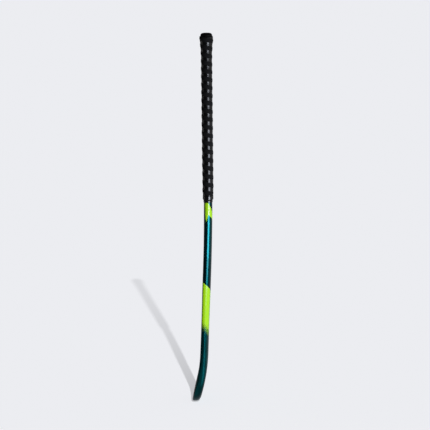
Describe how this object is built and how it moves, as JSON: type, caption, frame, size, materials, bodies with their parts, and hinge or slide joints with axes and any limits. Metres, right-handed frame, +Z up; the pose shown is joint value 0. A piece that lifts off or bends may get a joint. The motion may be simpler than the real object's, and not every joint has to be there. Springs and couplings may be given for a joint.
{
  "type": "field hockey stick",
  "caption": "J-shaped hockey stick with a bowed hollow composite shaft, hooked head with one flat face, and a spiral-ridged wound grip.",
  "frame": {"origin": "middle of the bounding box at the height of the lowest point of the head", "axes": "+Z runs up the straight handle, -X is the side of the flat playing face, +Y is the side of the toe"},
  "size_m": [0.0622, 0.1186, 0.927],
  "materials": {
    "painted_laminate": "carbon and glass laminate, mottled dark teal paint with lime panels under clear gloss lacquer",
    "carbon_braid": "braided carbon in epoxy",
    "core_foam": "rigid low-density foam",
    "head_polyurethane": "dense moulded polyurethane",
    "plug_polyurethane": "moulded polyurethane",
    "cap_rubber": "matte moulded rubber",
    "base_adhesive": "double-sided cloth tape",
    "cord_rubber": "soft foam-rubber cord",
    "grip_polyurethane": "satin polyurethane cushion tape",
    "finishing_vinyl": "glossy stretch vinyl tape"
  },
  "bodies": {
    "root": {"stick_shell": "painted_laminate", "heel_side_tube": "carbon_braid", "toe_side_tube": "carbon_braid", "heel_side_foam": "core_foam", "toe_side_foam": "core_foam", "head_core": "head_polyurethane", "butt_plug": "plug_polyurethane", "end_cap": "cap_rubber", "base_tape": "base_adhesive", "ridge_cord": "cord_rubber", "grip_tape": "grip_polyurethane", "finishing_tape": "finishing_vinyl"}
  },
  "joints": []
}
